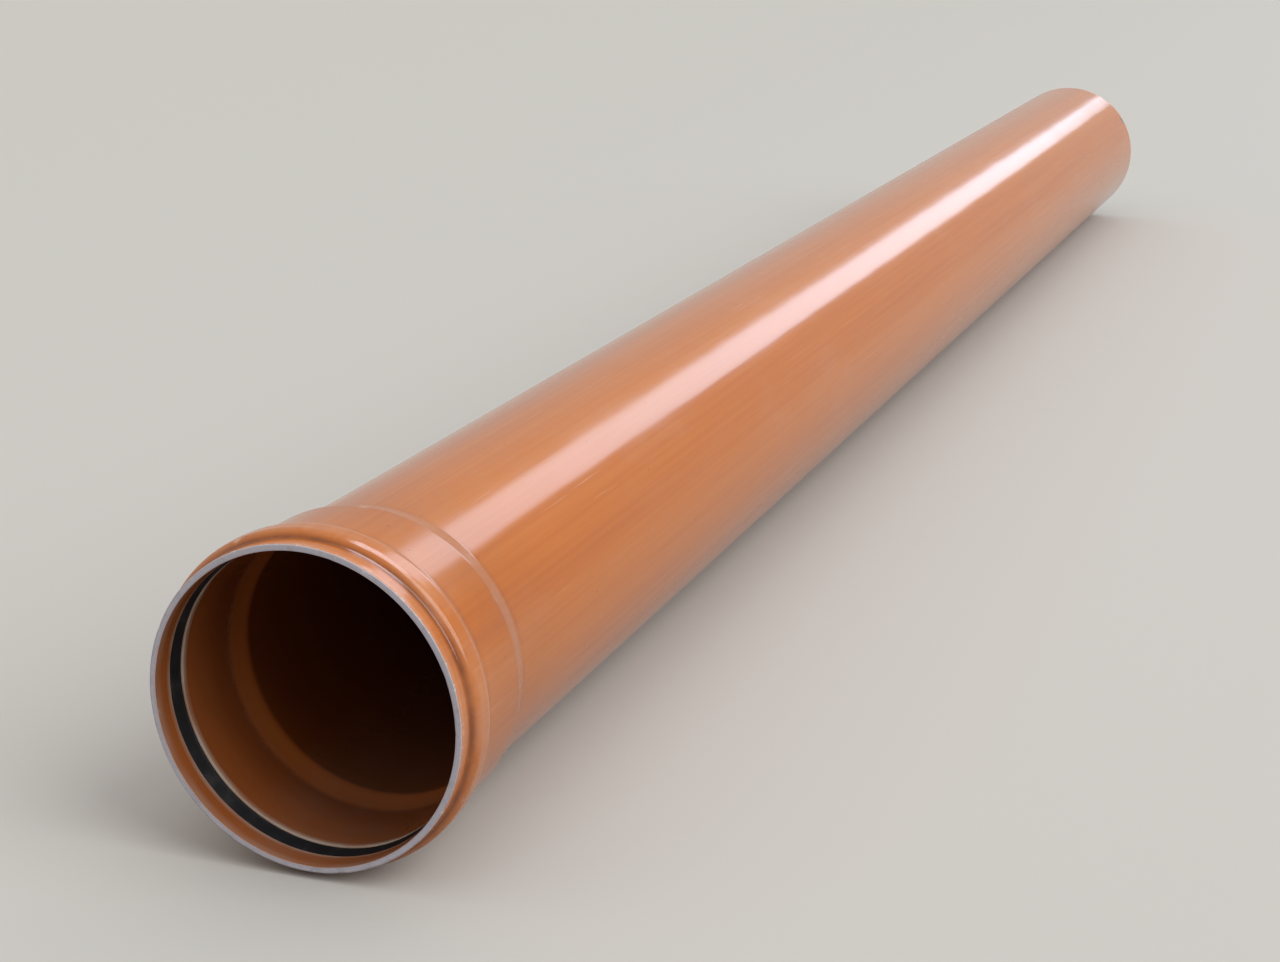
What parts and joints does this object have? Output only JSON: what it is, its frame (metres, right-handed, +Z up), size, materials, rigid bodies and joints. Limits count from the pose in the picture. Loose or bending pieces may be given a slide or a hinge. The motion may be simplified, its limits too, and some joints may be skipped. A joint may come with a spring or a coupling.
{
  "type": "pvc sewer pipe with socket",
  "caption": "Straight orange-brown PVC sewer pipe with a belled ring-seal socket at one end and a bevelled spigot at the other.",
  "frame": {"origin": "on the pipe's axis at the socket seat, where the straight socket bore ends and the root cone begins", "axes": "+Y runs along the axis from the socket to the spigot end, the mouth faces -Y, +Z is up as the pipe lies"},
  "size_m": [0.4414, 5.175, 0.4414],
  "materials": {
    "pvc": "extruded, satin gloss, weathered",
    "rubber": "moulded, matt"
  },
  "bodies": {
    "root": {"pipe": "pvc", "seal_ring": "rubber"}
  },
  "joints": []
}
